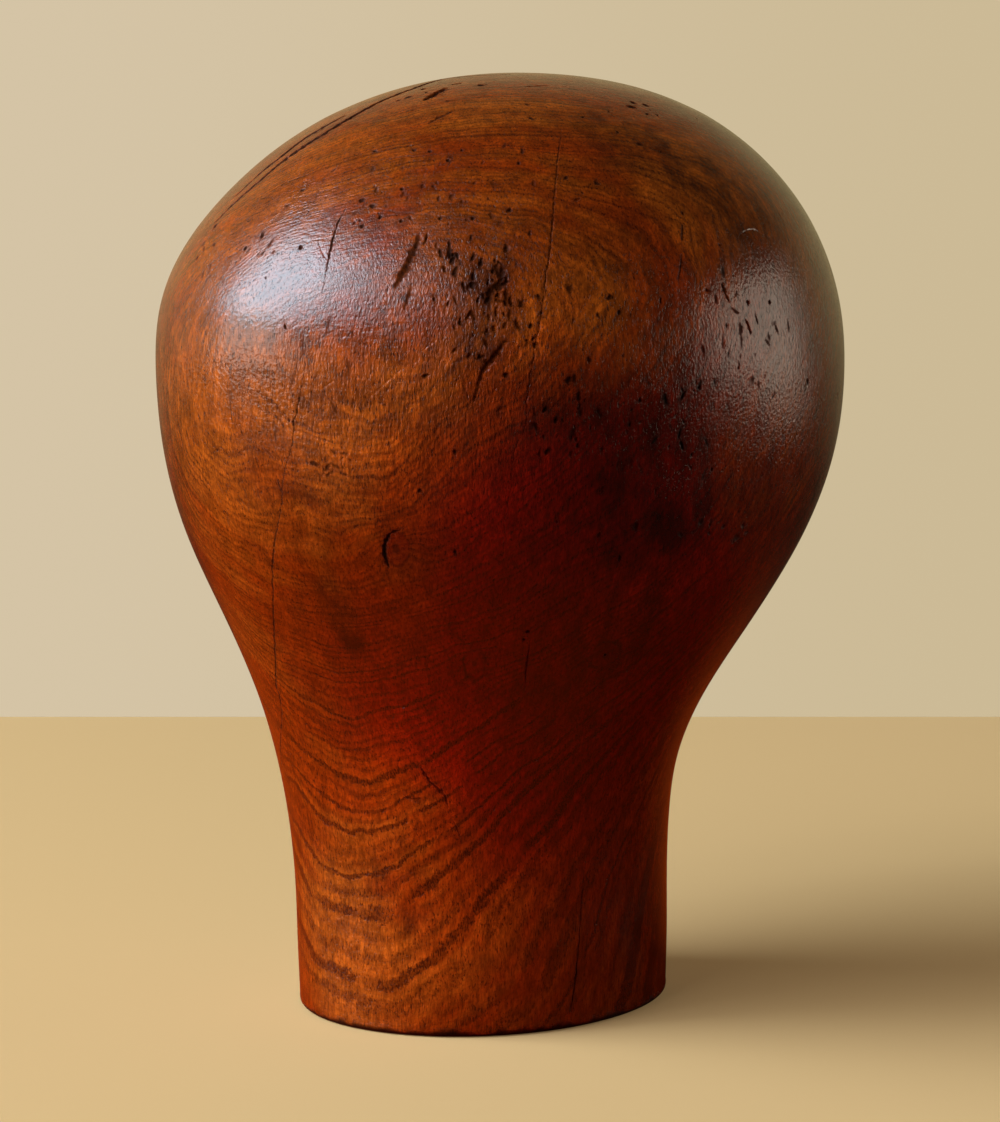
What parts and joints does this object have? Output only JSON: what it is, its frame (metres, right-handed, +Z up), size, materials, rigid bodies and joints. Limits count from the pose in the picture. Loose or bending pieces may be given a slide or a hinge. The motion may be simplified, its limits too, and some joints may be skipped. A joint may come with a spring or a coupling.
{
  "type": "wig display stand",
  "caption": "Antique-style carved wooden wig block: an egg-shaped head on an oval neck with a flat foot, one solid piece of dark waxed figured wood, with a spindle socket in its underside.",
  "frame": {"origin": "centre of the whole block's bounding box, at the flat underside of the foot, where it rests", "axes": "+Z up the neck to the crown, -Y the way the brow faces, +X towards the block's left temple; the neck stands about 10 mm forward of the origin"},
  "size_m": [0.1668, 0.198, 0.25],
  "materials": {
    "waxed_wood": "dark red-brown stained elm, wax polished to a soft gloss, with drying cracks, knots, pin holes and dents"
  },
  "bodies": {
    "root": {"head_block": "waxed_wood"}
  },
  "joints": []
}
